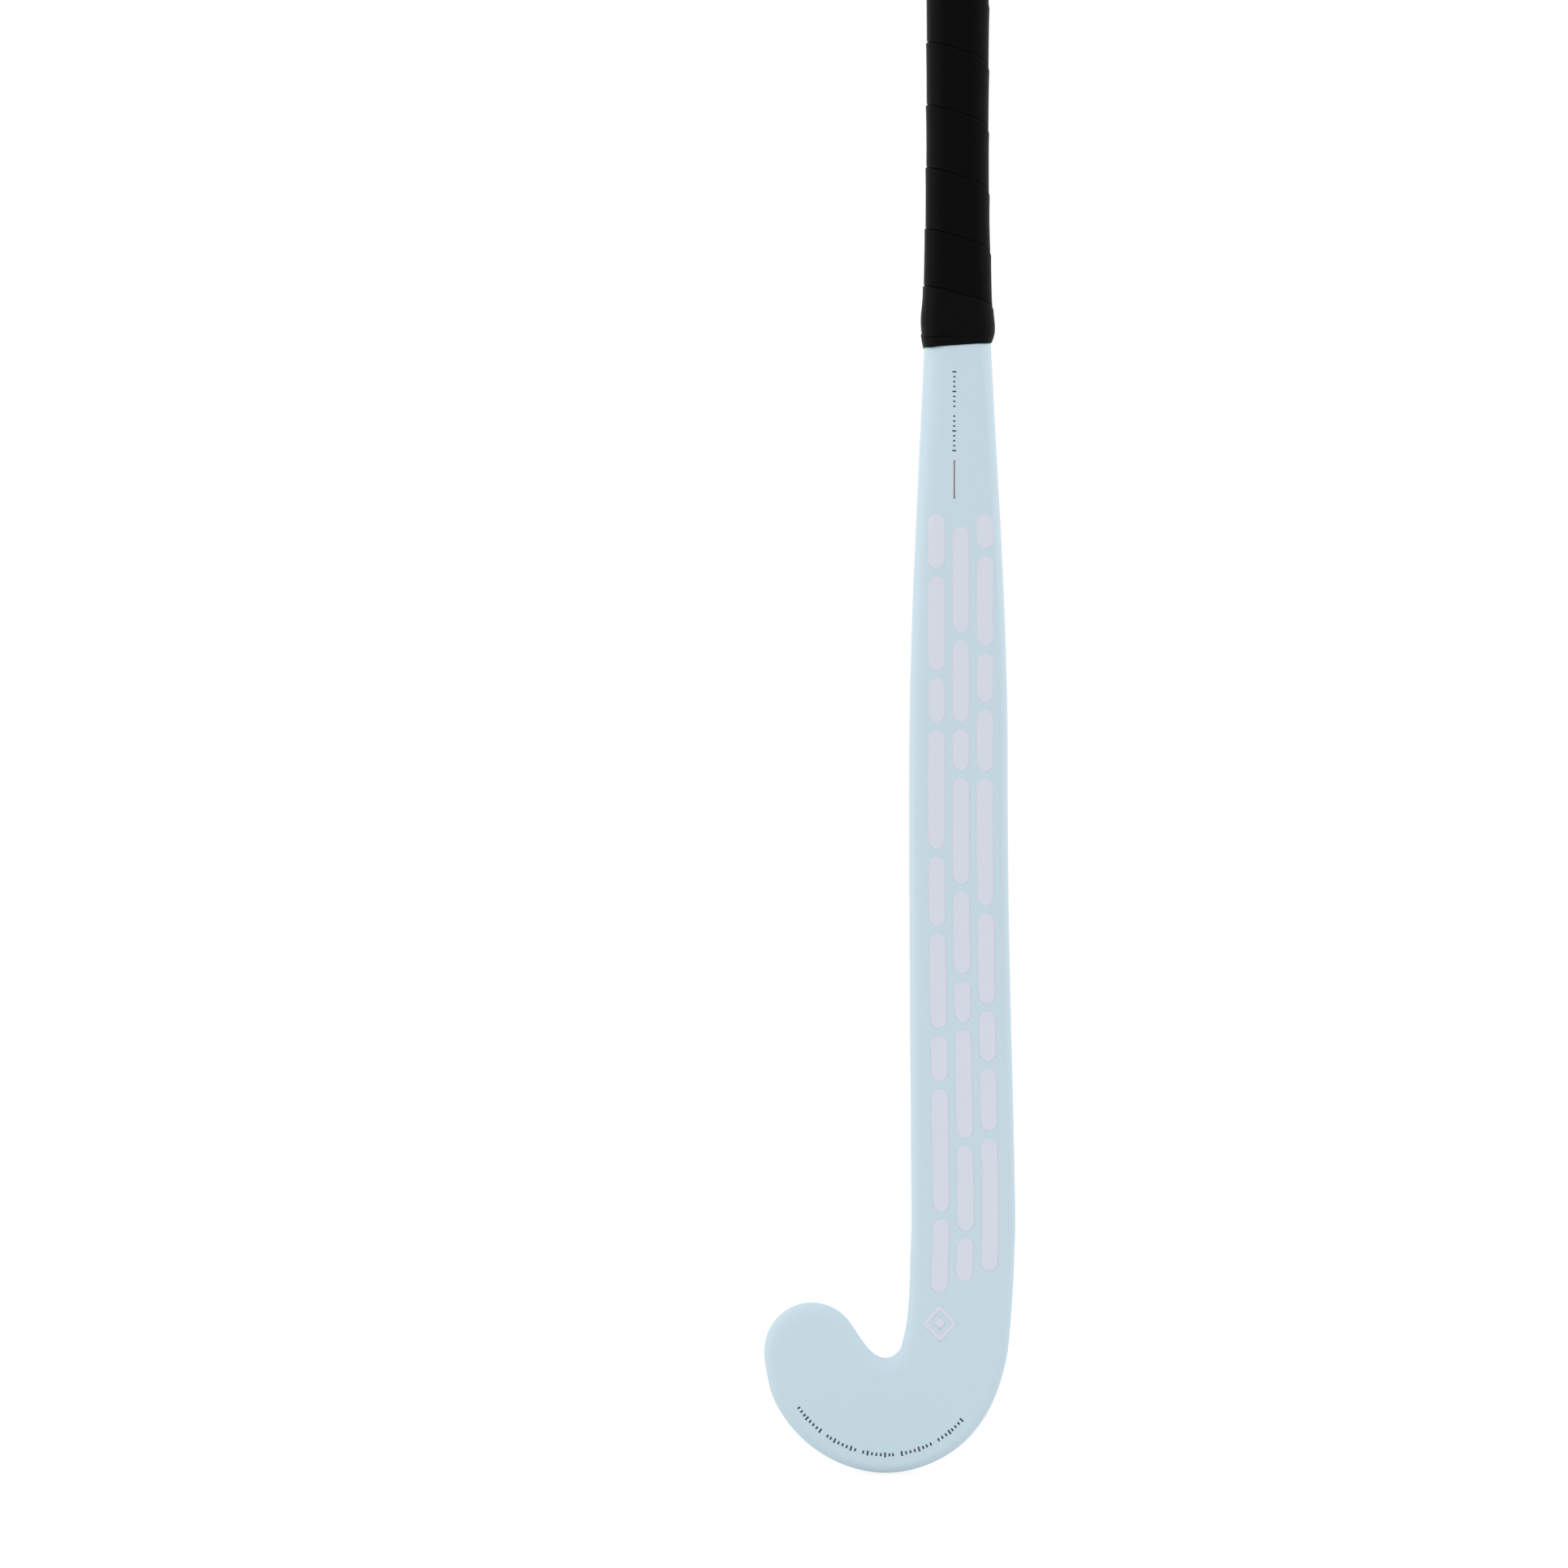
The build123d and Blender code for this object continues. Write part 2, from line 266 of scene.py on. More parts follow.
class GripSettings(bpy.types.PropertyGroup):
    colour: colour_property("Grip", "the grip tape", "#030305")
    pitch: size_property("Pitch", "Fall of the seam in one turn", 31)
    last_seam: size_property("Last seam", "Toe side end of the seam, above the lower edge", 9.3)
    tape_end: size_property("Tape end", "The tape's cut end, above the lower edge", 5.2)
    crowding: size_property("Crowding", "How much closer the last turns lie", 11.7)
    lap: size_property("Lap", "Step at each seam", 0.45)
    groove: size_property("Groove", "Depth of the seam", 0.6)
    groove_width: size_property("Groove width", "Half the width of the seam", 0.35)
    bulge: size_property("Bulge", "Swelling over the tape's end", 0.8)
    drawn_in: size_property("Drawn in", "Length over which the end closes in", 5.5)
    edge_drop: size_property("Edge drop", "How much lower the edge is at the toe side", 2.6)
    edge_lift: size_property("Edge lift", "How much higher the edge is on the narrow sides", 2.3)


class StageSettings(bpy.types.PropertyGroup):
    lens: FloatProperty(
        name="Lens", description="Focal length of the camera, mm", default=48.88, unit="CAMERA"
    )
    distance: size_property("Distance", "Camera to the handle's axis", 1048.6)
    rise: size_property("Rise", "Camera above the lowest point of the head", 327.1)
    aside: size_property("Aside", "Camera beside the handle's axis, towards the toe", 84.6)
    roll: FloatProperty(
        name="Roll", description="Turn of the camera about its line of sight", default=-0.0025,
        unit="ROTATION",
    )


# ---- materials ----


def sprayed_satin_lacquer(shell):
    """Satin clear lacquer sprayed over pale composite."""
    # Gives soft broad reflections over a pale blue that hardly varies, with a trace of orange
    # peel in dimples 1.4 mm across.
    material, tree = new_material("sprayed_satin_lacquer")
    place = {"Vector": add_node(tree, "ShaderNodeTexCoord").outputs["Object"]}
    clouds = add_node(tree, "ShaderNodeTexNoise", {"Scale": 1 / (60 * MM), "Detail": 3.0}, place)
    peel = add_node(tree, "ShaderNodeTexNoise", {"Scale": 1 / (1.4 * MM), "Detail": 1.0}, place)
    tones = linear(shell.colour, 0.985), linear(shell.colour)
    sockets = {"Roughness": shell.roughness, "IOR": 1.5, "Specular IOR Level": 0.4}
    finish(
        tree, clouds.outputs["Fac"], tones, sockets,
        height=peel.outputs["Fac"], strength=0.25, depth=0.02 * MM,
    )
    return material


def screen_printed_ink(name, colour):
    """Ink screen printed under the lacquer."""
    # Gives an even colour that keeps the lacquer's satin, with faint patches 8 mm across. It also
    # colours the painted highlights beside the pinstripes.
    material, tree = new_material(name)
    place = {"Vector": add_node(tree, "ShaderNodeTexCoord").outputs["Object"]}
    clouds = add_node(tree, "ShaderNodeTexNoise", {"Scale": 1 / (8 * MM), "Detail": 3.0}, place)
    tones = linear(colour, 0.97), linear(colour)
    sockets = {"Roughness": 0.42, "IOR": 1.5, "Specular IOR Level": 0.4}
    finish(tree, clouds.outputs["Fac"], tones, sockets)
    return material


def moulded_polyurethane_tape(colour):
    """Smooth tacky polyurethane film moulded onto a foam strip."""
    # Gives a near black with a faint dull sheen and fine pores. Real ones are too fine to show,
    # so they are drawn 0.7 mm apart.
    material, tree = new_material("moulded_polyurethane_tape")
    place = {"Vector": add_node(tree, "ShaderNodeTexCoord").outputs["Object"]}
    clouds = add_node(tree, "ShaderNodeTexNoise", {"Scale": 1 / (12 * MM), "Detail": 3.0}, place)
    pores = add_node(tree, "ShaderNodeTexVoronoi", {"Scale": 1 / (0.7 * MM)}, place)
    tones = linear(colour, 0.7), linear(colour)
    sockets = {"Roughness": 0.5, "IOR": 1.5, "Specular IOR Level": 0.05}
    finish(
        tree, clouds.outputs["Fac"], tones, sockets,
        height=pores.outputs["Distance"], strength=0.3, depth=0.05 * MM,
    )
    return material


def stretched_vinyl_tape(colour):
    """Vinyl tape stretched round the end of the grip."""
    # Gives the grip's black, a little glossier, with faint lines round the handle. Real ones
    # are too fine to show, so they are drawn 0.8 mm apart.
    material, tree = new_material("stretched_vinyl_tape")
    place = {"Vector": add_node(tree, "ShaderNodeTexCoord").outputs["Object"]}
    clouds = add_node(tree, "ShaderNodeTexNoise", {"Scale": 1 / (9 * MM), "Detail": 3.0}, place)
    drawn = add_node(tree, "ShaderNodeMapping", {"Scale": (0.15, 0.15, 1.0)}, place)
    lines = add_node(
        tree, "ShaderNodeTexNoise", {"Scale": 1 / (0.8 * MM), "Detail": 2.0},
        {"Vector": drawn.outputs["Vector"]},
    )
    tones = linear(colour, 0.8), linear(colour)
    sockets = {"Roughness": 0.5, "IOR": 1.52, "Specular IOR Level": 0.06}
    finish(
        tree, clouds.outputs["Fac"], tones, sockets,
        height=lines.outputs["Fac"], strength=0.3, depth=0.05 * MM,
    )
    return material


def moulded_polypropylene():
    """Polypropylene injection moulded in a spark eroded mould."""
    # Gives a dull near black with an even grain. Real grain is too fine to show, so it is drawn
    # 0.4 mm coarse.
    material, tree = new_material("moulded_polypropylene")
    place = {"Vector": add_node(tree, "ShaderNodeTexCoord").outputs["Object"]}
    clouds = add_node(tree, "ShaderNodeTexNoise", {"Scale": 1 / (5 * MM), "Detail": 3.0}, place)
    grain = add_node(tree, "ShaderNodeTexNoise", {"Scale": 1 / (0.4 * MM)}, place)
    tones = linear("#131316"), linear("#1B1B1E")
    sockets = {"Roughness": 0.6, "IOR": 1.49, "Specular IOR Level": 0.2}
    finish(
        tree, clouds.outputs["Fac"], tones, sockets,
        height=grain.outputs["Fac"], strength=0.5, depth=0.05 * MM,
    )
    return material


def moulded_carbon_laminate():
    """Raw carbon cloth moulded in resin."""
    # Gives a glossy black, with the cloth's twill as faint diagonal bands. The tows themselves
    # are too fine to show, so the bands are drawn coarse, about 25 mm apart up a tube.
    material, tree = new_material("moulded_carbon_laminate")
    place = {"Vector": add_node(tree, "ShaderNodeTexCoord").outputs["Object"]}
    twill = add_node(
        tree, "ShaderNodeTexWave", {"Scale": 1 / (4 * MM) / 10, "Distortion": 0.4}, place,
        bands_direction="DIAGONAL",
    )
    tones = linear("#17181A"), linear("#303236")
    finish(tree, twill.outputs["Fac"], tones, {"Roughness": 0.35, "IOR": 1.55})
    return material


def cut_closed_cell_foam():
    """Closed cell foam cut to shape."""
    # Gives a dull cream, with small open cells 0.8 mm across on its cut faces.
    material, tree = new_material("cut_closed_cell_foam")
    place = {"Vector": add_node(tree, "ShaderNodeTexCoord").outputs["Object"]}
    clouds = add_node(tree, "ShaderNodeTexNoise", {"Scale": 1 / (3 * MM), "Detail": 3.0}, place)
    cells = add_node(tree, "ShaderNodeTexVoronoi", {"Scale": 1 / (0.8 * MM)}, place)
    tones, sockets = (linear("#CDBF93"), linear("#E2D9B4")), {"Roughness": 0.9}
    finish(
        tree, clouds.outputs["Fac"], tones, sockets,
        height=cells.outputs["Distance"], strength=0.6, depth=0.2 * MM,
    )
    return material


def pressed_felt():
    """Felt pressed into a thin sheet."""
    # Gives a dull grey with a short fibrous nap, in tufts 0.6 mm across.
    material, tree = new_material("pressed_felt")
    place = {"Vector": add_node(tree, "ShaderNodeTexCoord").outputs["Object"]}
    nap = add_node(tree, "ShaderNodeTexNoise", {"Scale": 1 / (0.6 * MM), "Detail": 6.0}, place)
    tones, sockets = (linear("#333335"), linear("#454547")), {"Roughness": 0.95}
    fibres = nap.outputs["Fac"]
    finish(tree, fibres, tones, sockets, height=fibres, strength=0.6, depth=0.2 * MM)
    return material


def matt_white_floor():
    """Matt white paint, rolled on."""
    # Looks white to the camera and in reflections, and keeps a trace of the stick's shadow.
    material, tree = new_material("matt_white_floor")
    path = add_node(tree, "ShaderNodeLightPath").outputs
    seen = add_node(
        tree, "ShaderNodeMath", links={0: path["Is Camera Ray"], 1: path["Is Glossy Ray"]},
        operation="MAXIMUM",
    )
    any_seen = add_node(
        tree, "ShaderNodeMath", links={0: seen.outputs[0], 1: path["Is Transmission Ray"]},
        operation="MAXIMUM",
    )
    glow = add_node(
        tree, "ShaderNodeMath", {1: 0.75}, {0: any_seen.outputs[0]}, operation="MULTIPLY"
    )
    matt = add_node(tree, "ShaderNodeBsdfDiffuse", {"Color": (0.8, 0.8, 0.8, 1.0)})
    lit = add_node(tree, "ShaderNodeEmission", {"Strength": 1.18})
    mix = add_node(
        tree, "ShaderNodeMixShader",
        links={0: glow.outputs[0], 1: matt.outputs["BSDF"], 2: lit.outputs["Emission"]},
    )
    add_node(tree, "ShaderNodeOutputMaterial", links={"Surface": mix.outputs["Shader"]})
    return material


# ---- the shell's form ----

# Heights along the face, above the lowest point of the head.
HOLD_HEIGHT = 734.5 * MM  # of the origin, in the middle of the grip
LAMINATE_TOP = 923.9 * MM
HANDLE_START, SHAFT_START, THROAT_START = mm(643, 339, 115)
FLAT_HEIGHT = 80 * MM  # below it the face is one flat plane
NOTCH_HEIGHT = 61.4 * MM  # of the centre that the hook turns about

# Places across the stick: how far each lies to one side of the handle's axis.
SHAFT_OFFSET, THROAT_OFFSET = mm(0.9, 2.7)  # towards the heel
NOTCH_OFFSET = 35.8 * MM  # towards the toe

NECK = (  # height, and the width on the toe side of the axis and on its heel side
    (115 * MM, mm(22.35, 27.75)),
    (98 * MM, mm(23.1, 26.9)),
    (82 * MM, mm(23.6, 25.9)),
    (68 * MM, mm(25.0, 24.6)),
    (61.4 * MM, mm(26.8, 23.9)),
)
HOOK_TURN = 158  # degrees about the notch, from the heel side
HOOK = (  # turn, negative so that it falls, and the width
    (0, mm(50.7)),
    (-10, mm(49.9)),
    (-20, mm(49.5)),
    (-54, mm(51.6)),
    (-89, mm(52.4)),
    (-HOOK_TURN, mm(50.9)),
)
TOE_RUN = 7.6 * MM  # straight, between the hook and the round end

SHAFT_STEP = 8 * MM  # from one section to the next
NECK_STEPS, HOOK_STEPS, RUN_STEPS, TOE_STEPS = 18, 79, 3, 36

# How far along the edge its corners are eased.
OUTER_EASE, NOTCH_EASE, RUN_EASE, TOE_EASE = mm(5, 1.6, 4, 3.5)
HOOK_EASE_MORE, NECK_EASE_MORE = mm(2.2, 1.5)  # on top of the notch's own, away from it
NECK_EASE_STEPS = 5  # of the neck, over which the easing sets in
NECK_TOE_SIDE = 0.6  # of the easing on the neck's heel side
NECK_TURN = 20  # degrees over which the hook takes over from the neck
HOOK_FROM, HOOK_OVER = 60, 70  # degrees at which the hook's own easing sets in, and over how many
EASE_REACH = 3.5  # times the easing, past which a point hardly counts

FLAT_SHARES = (0.0, 0.3, 0.6, 0.85, 0.96)  # places across the flat of the face
FACE_REACH = 0.7  # of the half, the furthest that the face's corner may reach
FACE_STEPS, BACK_STEPS, CROWN_STEPS = 12, 10, 10
SOFTENING = 24  # points of the edge, centred where the round toe starts, that turn soft
SHELL_WALL = 1.4 * MM


class Station:
    """One cross-section of the shell.

    It has its middle on the face, the ways across it and into the stick, its width, the sizes of
    its section, and how far its corners are eased on the heel side and on the toe side.
    """

    def __init__(self, middle, across, into, width, shape, easing):
        self.middle, self.across, self.into = middle, across, into
        self.width, self.shape, self.easing = width, shape, easing


class ShellForm:
    """The shell's sections from the butt down and round the hook, and the line round its edge."""

    def __init__(self, shell):
        self.shell = shell
        length = HOLD_HEIGHT + BUTT_TOP
        rise, flat = shell.bow_height, FLAT_HEIGHT
        self.bow_start = length - math.sqrt(length**2 - 2 * length * rise + flat**2)
        gap = (self.bow_start**2 - flat**2) * (1 - rise / length) - (self.bow_start - rise) ** 2
        self.bow_radius = gap / (2 * shell.bow_depth)
        self.stations = self.upper() + self.neck() + self.hook()

    def on_face(self, height, aside):
        """A point of the face at a height along it, with the way into the stick."""
        arc = min(max(self.bow_start - height, 0.0), self.bow_start - FLAT_HEIGHT) / self.bow_radius
        above, below = max(height - self.bow_start, 0.0), max(FLAT_HEIGHT - height, 0.0)
        forward = self.bow_radius * (1 - math.cos(arc)) + below * math.sin(arc)
        down = self.bow_radius * math.sin(arc) - above + below * math.cos(arc)
        point = (aside, -self.shell.handle[1] / 2 - forward, self.bow_start - HOLD_HEIGHT - down)
        return Vector(point), Vector((0.0, math.cos(arc), -math.sin(arc)))

    def upper(self):
        """Handle and shaft, down to the throat."""
        shell, found = self.shell, []
        count = round((HANDLE_START - THROAT_START) / SHAFT_STEP)
        fall = HANDLE_START - THROAT_START
        for height in [LAMINATE_TOP] + [HANDLE_START - fall * i / count for i in range(count + 1)]:
            if height > SHAFT_START:
                share = ease((HANDLE_START - height) / (HANDLE_START - SHAFT_START))
                shape, aside = blend(shell.handle, shell.shaft, share), SHAFT_OFFSET * share
            else:
                share = ease((SHAFT_START - height) / (SHAFT_START - THROAT_START))
                shape = blend(shell.shaft, shell.throat, share)
                aside = SHAFT_OFFSET + (THROAT_OFFSET - SHAFT_OFFSET) * share
            middle, into = self.on_face(height, aside)
            found.append(Station(middle, Vector((1, 0, 0)), into, shape[0], shape, (0.0, 0.0)))
        return found

    def neck(self):
        """From the throat to the notch's centre, where the section is halfway to the head's."""
        found = []
        for i in range(1, NECK_STEPS):
            height = THROAT_START + (NOTCH_HEIGHT - THROAT_START) * i / NECK_STEPS
            toe_side, heel_side = follow(NECK, height)
            middle, into = self.on_face(height, (heel_side - toe_side) / 2)
            shape = blend(self.shell.throat, self.shell.head, ease(i / NECK_STEPS) / 2)
            easing = OUTER_EASE * min(i / NECK_EASE_STEPS, 1.0)
            easings = (easing, easing * NECK_TOE_SIDE)
            width = toe_side + heel_side
            found.append(Station(middle, Vector((1, 0, 0)), into, width, shape, easings))
        return found

    def hook(self):
        """Round the notch, and along the short straight run to the toe."""
        notch, into = self.on_face(NOTCH_HEIGHT, -NOTCH_OFFSET)
        side = Vector((1, 0, 0))
        up = side.cross(into)
        found = []
        for i in range(HOOK_STEPS + 1):
            turn = HOOK_TURN * i / HOOK_STEPS
            width = follow(HOOK, -turn)[0]
            out = side * math.cos(math.radians(turn)) - up * math.sin(math.radians(turn))
            share = 0.5 + 0.5 * min(turn / NECK_TURN, 1.0)
            shape = blend(self.shell.throat, self.shell.head, share)
            inner = NOTCH_EASE + HOOK_EASE_MORE * ease((turn - HOOK_FROM) / HOOK_OVER)
            inner += NECK_EASE_MORE * ease((NECK_TURN - turn) / NECK_TURN)
            middle = notch + out * (self.shell.notch_radius + width / 2)
            found.append(Station(middle, out, into, width, shape, (OUTER_EASE, inner)))
        last = found[-1]
        self.toe_way = into.cross(last.across)
        for i in range(1, RUN_STEPS + 1):
            share = i / RUN_STEPS
            width = last.width + (2 * self.shell.toe_radius - last.width) * share
            middle = last.middle + self.toe_way * TOE_RUN * share
            easing = (OUTER_EASE, RUN_EASE)
            found.append(Station(middle, last.across, into, width, last.shape, easing))
        return found

    def edge(self):
        """Points round the edge with their stations: by the heel side, the toe and the toe side."""
        points = [(s.middle + s.across * s.width / 2, s, s.easing[0]) for s in self.stations]
        toe = self.stations[-1]
        for i in range(1, TOE_STEPS):
            angle = math.pi * i / TOE_STEPS
            out = toe.across * math.cos(angle) + self.toe_way * math.sin(angle)
            points.append((toe.middle + out * self.shell.toe_radius, toe, TOE_EASE))
        for s in reversed(self.stations):
            points.append((s.middle - s.across * s.width / 2, s, s.easing[1]))
        return self.eased(points)

    def eased(self, points):
        """The same points with corners eased, each by its own length along the edge."""
        places = [0.0]
        for here, there in zip(points, points[1:]):
            places.append(places[-1] + (there[0] - here[0]).length)
        found = []
        for i, (point, station, easing) in enumerate(points):
            if easing:
                total, weighted = 0.0, Vector((0.0, 0.0, 0.0))
                for j in range(1, len(points) - 1):
                    away = (places[j] - places[i]) / easing
                    if abs(away) < EASE_REACH:
                        weight = math.exp(-away * away / 2) * (places[j + 1] - places[j - 1])
                        total += weight
                        weighted += points[j][0] * weight
                point = weighted / total
            found.append((point, station))
        return found


def half_section(half, shape, softness):
    """Half of a D-shaped outline, as places across and into the stick, from the face to the back.

    The softness is how many times further the face's corner reaches across the face than into the
    stick, though never past a share of the half that leaves some of the face flat.
    """
    _, depth, face, back, crown = shape
    rise = math.sqrt((crown - back) ** 2 - (half - back) ** 2)
    turn = math.atan2(rise, half - back)
    reach = max(face, min(face * softness, half * FACE_REACH))
    points = [((half - reach) * share, 0.0) for share in FLAT_SHARES]
    arcs = (  # centre, radius across and into the stick, first and last angle, steps
        (half - reach, face, reach, face, -math.pi / 2, 0.0, FACE_STEPS),
        (half - back, depth - crown + rise, back, back, 0.0, turn, BACK_STEPS),
        (0.0, depth - crown, crown, crown, turn, math.pi / 2, CROWN_STEPS),
    )
    for x, y, across, into, start, end, count in arcs:
        for i in range(count):
            angle = start + (end - start) * i / count
            points.append((x + across * math.cos(angle), y + into * math.sin(angle)))
    return points + [(0.0, depth)]


class STICK_OT_shell(bpy.types.Operator):
    """Draws the laminate shell with smooth curves and lacquers it"""

    bl_idname = "stick.shell"
    bl_label = "Shell"

    def execute(self, context):
        shell = context.scene.stick_shell
        form = ShellForm(shell)
        round_toe = len(form.stations)  # the edge's first point past the heel side
        rows = []
        for i, (point, station) in enumerate(form.edge()):
            out = point - station.middle
            share = ease((i - round_toe + SOFTENING / 2) / SOFTENING)
            softness = 1 + (shell.toe_side_softness - 1) * share
            section = half_section(out.length, station.shape, softness)
            out.normalize()
            middle, into = station.middle, station.into
            rows.append([middle + out * across + into * depth for across, depth in section])
        lacquer = sprayed_satin_lacquer(shell)
        piece = mesh_piece(SHELL, [rows], lacquer)
        tidy_mesh(piece)
        thicken(piece, SHELL_WALL)
        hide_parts("outer_shell")
        return {"FINISHED"}


class STICK_OT_inner_pieces(bpy.types.Operator):
    """Finishes the pieces inside the shell and under the tape"""

    bl_idname = "stick.inner_pieces"
    bl_label = "Inner pieces"

    def execute(self, context):
        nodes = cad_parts
        carbon, foam = moulded_carbon_laminate(), cut_closed_cell_foam()
        set_material(nodes["heel_side_tube"], carbon)
        set_material(nodes["toe_side_tube"], carbon)
        set_material(nodes["head_core"], foam)
        set_material(nodes["handle_foam"], foam)
        set_material(nodes["grip_backing"], pressed_felt())
        set_material(nodes["end_plug"], moulded_polypropylene())
        return {"FINISHED"}


# ---- the wound grip ----

OUTSIDE = 50 * MM  # from the axis, clear of every surface of the handle
NO_SURFACE = 10 * MM  # radius that stands in above the end of the laminate
FINE_ANGLES = 720
WOUND_FROM = TAPE_END + 5.5 * MM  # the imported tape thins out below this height
ANGLES_FROM = TAPE_END + 60 * MM  # where the handle's outline is divided evenly
BAND_SKIN = 0.45 * MM  # thickness of the band where it lies on the laminate
TAPE_THICKNESS = 0.35 * MM

CROWDED_TURNS = 0.95  # over which the seam comes back to its full pitch
END_TURNS = 0.03  # over which the seam drops to the tape's cut end
CUT_AT, FADE_TURNS, FAINT_SEAM = 0.19, 0.1, 0.1  # turns past the last seam, and strength left
CREST_SHARE = 0.2  # of the strip's width, over which its lap flattens

SWELL_HEIGHT, SWELL_SHIFT, SWELL_REACH = mm(11, 3.5, 8)  # above the edge; higher at the toe side
SWELL_FLAT = 0.15  # share of the swelling that the face and the back have
EDGE_DEPTH = 10 * MM  # distance from the handle's middle plane where the edge is at its lowest
CLOSING = 0.8  # below 1 the end of the band rounds over more steeply


def outer_hit(surface, angle, height):
    """The point of a surface round the handle's axis seen from outside at an angle and height."""
    away = Vector((math.cos(angle), math.sin(angle), 0.0))
    axis = Vector((0.0, 0.0, height))
    hit = surface.ray_cast(axis + away * OUTSIDE, -away, OUTSIDE)[0]
    return hit if hit is not None else axis + away * NO_SURFACE


def even_angles(surface, height, count):
    """Angles from the toe side by the face, the heel and the back, at even lengths of outline."""
    fine = [math.pi + 2 * math.pi * i / FINE_ANGLES for i in range(FINE_ANGLES + 1)]
    points = [outer_hit(surface, angle, height) for angle in fine]
    lengths = [0.0]
    for here, there in zip(points, points[1:]):
        lengths.append(lengths[-1] + (there - here).length)
    angles, k = [], 0
    for i in range(count):
        wanted = lengths[-1] * i / count
        while lengths[k + 1] < wanted:
            k += 1
        share = (wanted - lengths[k]) / (lengths[k + 1] - lengths[k])
        angles.append(fine[k] + (fine[k + 1] - fine[k]) * share)
    return angles


def seam_height(grip, turns):
    """Height of the seam above the grip's lower edge, turns up from the toe side's last seam."""
    if turns >= 0:
        crowded = grip.crowding * (1 - math.exp(-turns / CROWDED_TURNS))
        return grip.last_seam + grip.pitch * turns - crowded
    if turns >= -1:
        return grip.tape_end + (grip.last_seam - grip.tape_end) * math.exp(turns / END_TURNS)
    return -grip.pitch


def seam_strength(turns):
    """How far the seam shows, which fades past the tape's cut end."""
    return 1 - (1 - FAINT_SEAM) * ease((-turns - CUT_AT) / FADE_TURNS)


class Winding:
    """The strip wound round the handle: where each point of its outer surface lies."""

    columns = 96  # round the handle
    steps = 26  # across the strip

    def __init__(self, grip):
        self.grip = grip
        self.tape = surface_of(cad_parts["grip_tape"])
        self.laminate = surface_of(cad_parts["outer_shell"])
        self.angles = even_angles(self.tape, ANGLES_FROM, self.columns)

    def edge_height(self, angle):
        """Height of the lower edge, which falls to the toe side and lifts on narrow sides."""
        under = outer_hit(self.laminate, angle, GRIP_END)
        slant = self.grip.edge_drop * (under.x - BAND_LOW.x) / (BAND_HIGH.x - BAND_LOW.x)
        depth = min(abs(under.y) / EDGE_DEPTH, 1.0)
        return GRIP_END + slant + self.grip.edge_lift * (1 - (depth if under.y < 0 else depth**3))

    def point(self, angle, height, edge, rise):
        """A point of the surface, lifted by a rise, above the edge's height at this angle."""
        grip = self.grip
        across, above = math.cos(angle), height - edge
        radius = outer_hit(self.tape, angle, max(height, WOUND_FROM)).xy.length + rise
        swell = (above - SWELL_HEIGHT + SWELL_SHIFT * across) / SWELL_REACH
        narrow = SWELL_FLAT + (1 - SWELL_FLAT) * abs(across)
        radius += grip.bulge * narrow * math.exp(-swell * swell)
        drawn = min(max(above / grip.drawn_in, 0.0), 1.0)
        under = outer_hit(self.laminate, angle, height).xy.length + BAND_SKIN
        radius = under + (radius - under) * math.sin(drawn * math.pi / 2) ** CLOSING
        return Vector((across * radius, math.sin(angle) * radius, height))

    def row(self, turns):
        """The strip's surface across its width at one place, from upper seam to lower seam."""
        grip = self.grip
        angle = self.angles[round(-turns * self.columns) % self.columns]
        edge = self.edge_height(angle)
        upper, lower = seam_height(grip, turns), seam_height(grip, turns - 1)
        bottom = max(lower, edge - GRIP_END)
        cut = (upper - (BUTT_TOP - GRIP_END)) / (upper - bottom)
        strong, faint = seam_strength(turns), seam_strength(turns - 1) if turns > 0 else 0.0
        points = []
        for i in range(self.steps + 1):
            share = max(0.5 - 0.5 * math.cos(math.pi * i / self.steps), cut)
            height = upper + (bottom - upper) * share
            from_upper = (upper - height) / grip.groove_width
            from_lower = (height - lower) / grip.groove_width
            groove = strong * math.exp(-(from_upper**2)) + faint * math.exp(-(from_lower**2))
            crest = strong * math.exp(-share / CREST_SHARE) - faint * share
            rise = grip.lap * crest / 2 - grip.groove * groove
            points.append(self.point(angle, GRIP_END + height, edge, rise))
        return points

    def sleeve(self, name, material, first, last):
        """The strip from first to last turns above the last seam, cut off level with the butt."""
        count = round((first - last) * self.columns)
        rows = []
        for step in range(count + 1):
            turns = first - step / self.columns
            if seam_height(self.grip, turns - 1) < BUTT_TOP - GRIP_END:
                rows.append(self.row(turns))
        piece = mesh_piece(name, [rows], material)
        tidy_mesh(piece)
        thicken(piece, TAPE_THICKNESS)
        return piece


class STICK_OT_grip_tape(bpy.types.Operator):
    """Winds the grip tape down the handle, each turn lapping the one above"""

    bl_idname = "stick.grip_tape"
    bl_label = "Grip tape"

    def execute(self, context):
        grip = context.scene.stick_grip
        turns = math.ceil((BUTT_TOP - GRIP_END) / grip.pitch) + 2
        material = moulded_polyurethane_tape(grip.colour)
        piece = Winding(grip).sleeve("grip_tape_wound", material, turns, 1)
        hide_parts("grip_tape")
        return {"FINISHED"}


class STICK_OT_finishing_tape(bpy.types.Operator):
    """Stretches the last turn over the end of the grip and draws it in onto the laminate"""

    bl_idname = "stick.finishing_tape"
    bl_label = "Finishing tape"

    def execute(self, context):
        grip = context.scene.stick_grip
        material = stretched_vinyl_tape(grip.colour)
        piece = Winding(grip).sleeve("finishing_tape_wound", material, 1, -1)
        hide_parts("finishing_tape")
        return {"FINISHED"}
